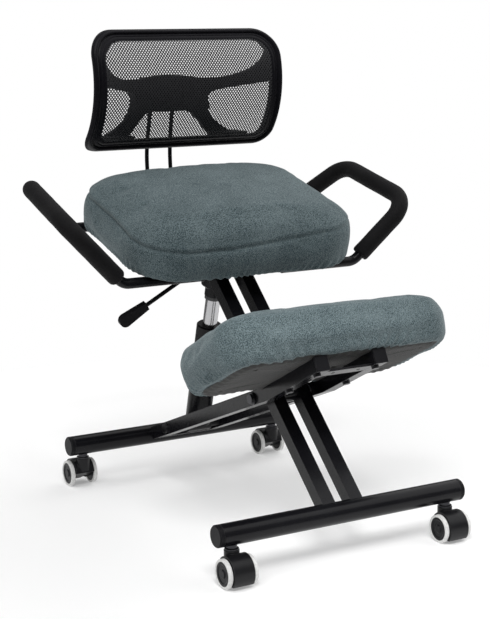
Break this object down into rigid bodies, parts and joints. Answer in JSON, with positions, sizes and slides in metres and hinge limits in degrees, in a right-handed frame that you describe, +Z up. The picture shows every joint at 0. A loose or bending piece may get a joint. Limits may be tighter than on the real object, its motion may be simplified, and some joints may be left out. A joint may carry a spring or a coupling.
{
  "type": "kneeling chair",
  "caption": "Kneeling chair with crossed steel frame on twin-wheel castors, gas lift, sloping knee pad, tilted seat, looped armrests and mesh lumbar backrest.",
  "frame": {"origin": "on the floor, midway between the two base tubes and on the chair's middle plane", "axes": "+X is the sitter's left, the sitter faces -Y, +Z is up"},
  "size_m": [0.7364, 0.7288, 0.8835],
  "materials": {
    "frame_paint": "satin black",
    "cap_plastic": "moulded black",
    "steel": "bright zinc",
    "castor_plastic": "moulded black",
    "wheel_plastic": "pale tread",
    "dark_steel": "blackened",
    "lift_black": "semi gloss black",
    "piston_chrome": "polished",
    "collar_plastic": "moulded grey",
    "board_wood": "plain plywood",
    "upholstery": "grey teal heather weave",
    "arm_foam": "matte closed-cell foam",
    "back_plastic": "moulded black",
    "back_net": "open black mesh"
  },
  "bodies": {
    "rails": {"rear_tube": "frame_paint", "rear_tube_caps": "cap_plastic", "rear_castor_stems": "steel", "rail_right": "frame_paint", "rail_left": "frame_paint", "rail_front_plate": "frame_paint", "rail_rear_plate": "frame_paint", "rail_end_plugs": "cap_plastic", "pivot_bolt": "dark_steel", "pivot_washers": "steel", "lift_pin": "dark_steel", "lift_spacers": "cap_plastic", "knee_board": "board_wood", "knee_cushion": "upholstery", "knee_bolts": "dark_steel"},
    "legs": {"leg_right": "frame_paint", "leg_left": "frame_paint", "pivot_barrel": "frame_paint", "front_tube": "frame_paint", "front_tube_caps": "cap_plastic", "front_castor_stems": "steel"},
    "lift": {"lift_cylinder": "lift_black", "lift_foot": "lift_black"},
    "seat": {"lift_piston": "piston_chrome", "piston_collar": "collar_plastic", "lift_socket": "lift_black", "seat_plate": "frame_paint", "hinge_pin": "steel", "lever_pin": "steel", "seat_board": "board_wood", "seat_cushion": "upholstery", "seat_bolts": "dark_steel", "arm_tube_right": "lift_black", "arm_tube_left": "lift_black", "arm_foam_right": "arm_foam", "arm_foam_left": "arm_foam", "back_rods": "lift_black", "back_clamp": "cap_plastic", "back_brace": "back_plastic", "back_frame": "back_plastic", "back_mesh": "back_net", "back_screws": "steel"},
    "lever": {"lever_rod": "lift_black", "lever_paddle": "cap_plastic"},
    "castor_front_right": {"hood_front_right": "castor_plastic", "axle_front_right": "steel"},
    "roll_front_right_outer": {"wheel_front_right_outer": "wheel_plastic"},
    "roll_front_right_inner": {"wheel_front_right_inner": "wheel_plastic"},
    "castor_front_left": {"hood_front_left": "castor_plastic", "axle_front_left": "steel"},
    "roll_front_left_outer": {"wheel_front_left_outer": "wheel_plastic"},
    "roll_front_left_inner": {"wheel_front_left_inner": "wheel_plastic"},
    "castor_rear_right": {"hood_rear_right": "castor_plastic", "axle_rear_right": "steel"},
    "roll_rear_right_outer": {"wheel_rear_right_outer": "wheel_plastic"},
    "roll_rear_right_inner": {"wheel_rear_right_inner": "wheel_plastic"},
    "castor_rear_left": {"hood_rear_left": "castor_plastic", "axle_rear_left": "steel"},
    "roll_rear_left_outer": {"wheel_rear_left_outer": "wheel_plastic"},
    "roll_rear_left_inner": {"wheel_rear_left_inner": "wheel_plastic"}
  },
  "joints": [
    {"name": "lift_hinge", "type": "hinge", "parent": "rails", "child": "lift", "pos_m": [0, 0.2251, 0.1146], "axis": [1, 0, 0], "range_deg": [-2.5, 2.5]},
    {"name": "lift_slide", "type": "slide", "parent": "lift", "child": "seat", "axis": [0, -0.2571, 0.9664], "range_m": [-0.03, 0.03]},
    {"name": "leg_hinge", "type": "hinge", "parent": "rails", "child": "legs", "pos_m": [0, -0.117, 0.25065], "axis": [1, 0, 0], "range_deg": [-6.3, 6.3]},
    {"name": "lever_lift", "type": "hinge", "parent": "seat", "child": "lever", "pos_m": [-0.056, 0.13603, 0.43558], "axis": [0, 0.9664, 0.2571], "range_deg": [0, 7], "stiffness_Nm_per_rad": 1.2, "springref_deg": -11.46},
    {"name": "swivel_front_right", "type": "hinge", "parent": "legs", "child": "castor_front_right", "pos_m": [-0.2157, -0.3, 0.06], "axis": [0, 0, 1], "continuous": true},
    {"name": "spin_front_right_outer", "type": "hinge", "parent": "castor_front_right", "child": "roll_front_right_outer", "pos_m": [-0.2157, -0.3165, 0.025], "axis": [1, 0, 0], "continuous": true},
    {"name": "spin_front_right_inner", "type": "hinge", "parent": "castor_front_right", "child": "roll_front_right_inner", "pos_m": [-0.2157, -0.3165, 0.025], "axis": [1, 0, 0], "continuous": true},
    {"name": "swivel_front_left", "type": "hinge", "parent": "legs", "child": "castor_front_left", "pos_m": [0.2157, -0.3, 0.06], "axis": [0, 0, 1], "continuous": true},
    {"name": "spin_front_left_outer", "type": "hinge", "parent": "castor_front_left", "child": "roll_front_left_outer", "pos_m": [0.2157, -0.3165, 0.025], "axis": [1, 0, 0], "continuous": true},
    {"name": "spin_front_left_inner", "type": "hinge", "parent": "castor_front_left", "child": "roll_front_left_inner", "pos_m": [0.2157, -0.3165, 0.025], "axis": [1, 0, 0], "continuous": true},
    {"name": "swivel_rear_right", "type": "hinge", "parent": "rails", "child": "castor_rear_right", "pos_m": [-0.2157, 0.3, 0.06], "axis": [0, 0, 1], "continuous": true},
    {"name": "spin_rear_right_outer", "type": "hinge", "parent": "castor_rear_right", "child": "roll_rear_right_outer", "pos_m": [-0.2157, 0.3165, 0.025], "axis": [1, 0, 0], "continuous": true},
    {"name": "spin_rear_right_inner", "type": "hinge", "parent": "castor_rear_right", "child": "roll_rear_right_inner", "pos_m": [-0.2157, 0.3165, 0.025], "axis": [1, 0, 0], "continuous": true},
    {"name": "swivel_rear_left", "type": "hinge", "parent": "rails", "child": "castor_rear_left", "pos_m": [0.2157, 0.3, 0.06], "axis": [0, 0, 1], "continuous": true},
    {"name": "spin_rear_left_outer", "type": "hinge", "parent": "castor_rear_left", "child": "roll_rear_left_outer", "pos_m": [0.2157, 0.3165, 0.025], "axis": [1, 0, 0], "continuous": true},
    {"name": "spin_rear_left_inner", "type": "hinge", "parent": "castor_rear_left", "child": "roll_rear_left_inner", "pos_m": [0.2157, 0.3165, 0.025], "axis": [1, 0, 0], "continuous": true}
  ],
  "couplings": [
    {"joint": "lift_hinge", "follows": "lift_slide", "rad_per_m": 1.3707},
    {"joint": "leg_hinge", "follows": "lift_slide", "rad_per_m": 3.5569}
  ]
}
